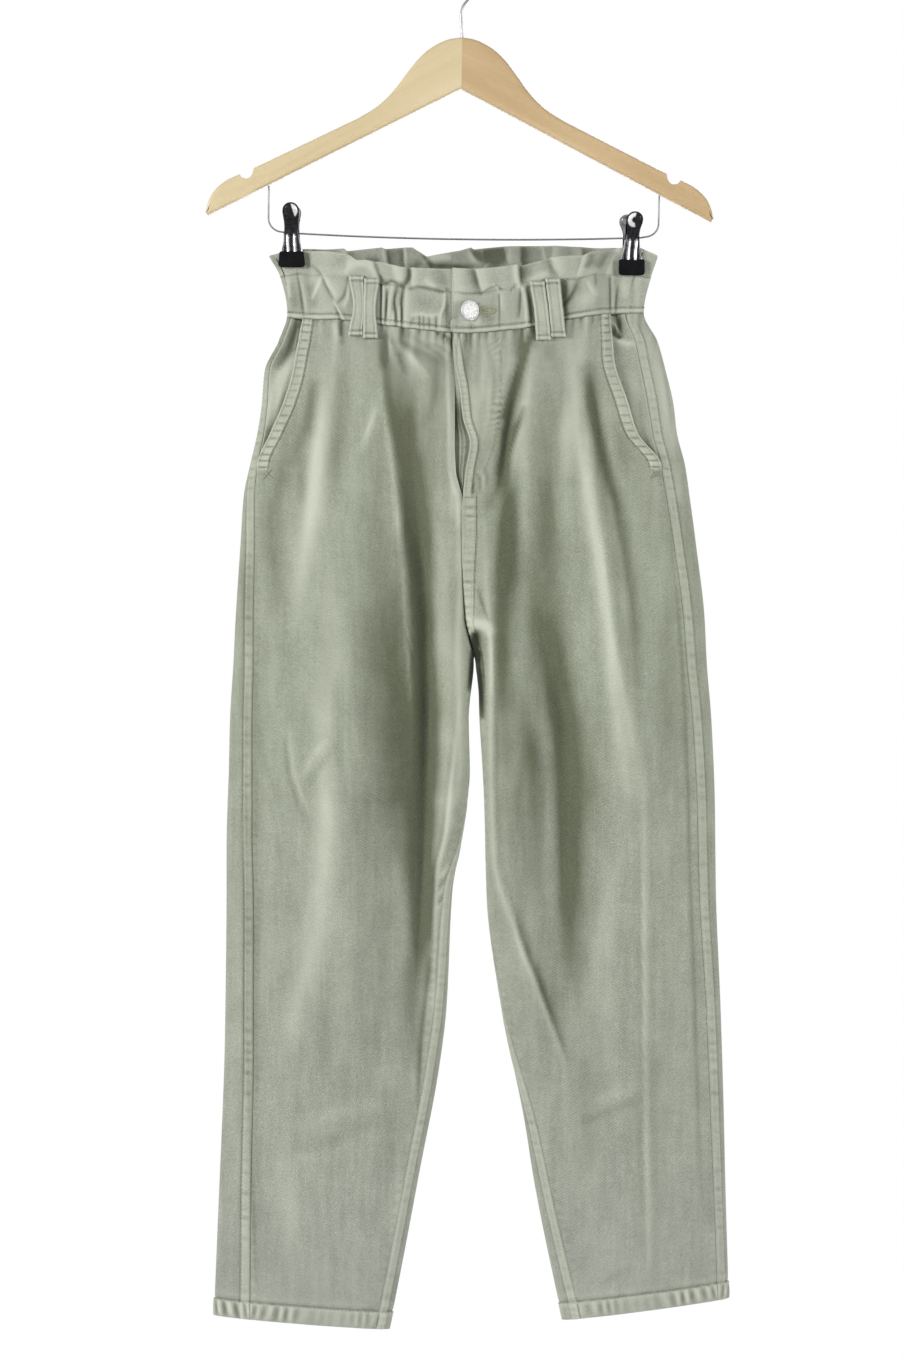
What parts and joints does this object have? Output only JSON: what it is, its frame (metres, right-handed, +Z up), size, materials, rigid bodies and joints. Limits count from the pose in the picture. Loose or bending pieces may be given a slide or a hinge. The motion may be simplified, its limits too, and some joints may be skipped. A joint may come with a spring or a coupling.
{
  "type": "paper-bag waist jeans on a wooden clip hanger",
  "caption": "High-waisted tapered twill jeans with a gathered paper-bag waist, hanging flat from the metal clips of a wooden hanger.",
  "frame": {"origin": "the inner top of the hanger's hook, where a rail carries it", "axes": "+Z up, -Y is the garment's front, +X to the right seen from the front"},
  "size_m": [0.4565, 0.072, 1.2141],
  "materials": {
    "twill": "washed cotton twill, matt, sage green",
    "button_metal": "pale matt metal shank button",
    "beech": "pale beech under clear satin lacquer",
    "steel_wire": "plated steel wire",
    "clip_chrome": "polished chrome plate",
    "jaw_rubber": "matt black rubber"
  },
  "bodies": {
    "root": {"front_left": "twill", "front_right": "twill", "back_left": "twill", "back_right": "twill", "pocket_facing_left": "twill", "pocket_facing_right": "twill", "waistband_front_left": "twill", "waistband_front_right": "twill", "waistband_back": "twill", "fly_shield": "twill", "belt_loop_1": "twill", "belt_loop_2": "twill", "belt_loop_3": "twill", "belt_loop_4": "twill", "belt_loop_5": "twill", "belt_loop_6": "twill", "waist_button": "button_metal", "hanger_wood_left": "beech", "hanger_wood_right": "beech", "hook": "steel_wire", "clip_bar": "steel_wire", "clip_left_front": "clip_chrome", "clip_left_back": "clip_chrome", "clip_left_spring": "clip_chrome", "clip_left_jaw_front": "jaw_rubber", "clip_left_jaw_back": "jaw_rubber", "clip_right_front": "clip_chrome", "clip_right_back": "clip_chrome", "clip_right_spring": "clip_chrome", "clip_right_jaw_front": "jaw_rubber", "clip_right_jaw_back": "jaw_rubber"}
  },
  "joints": []
}
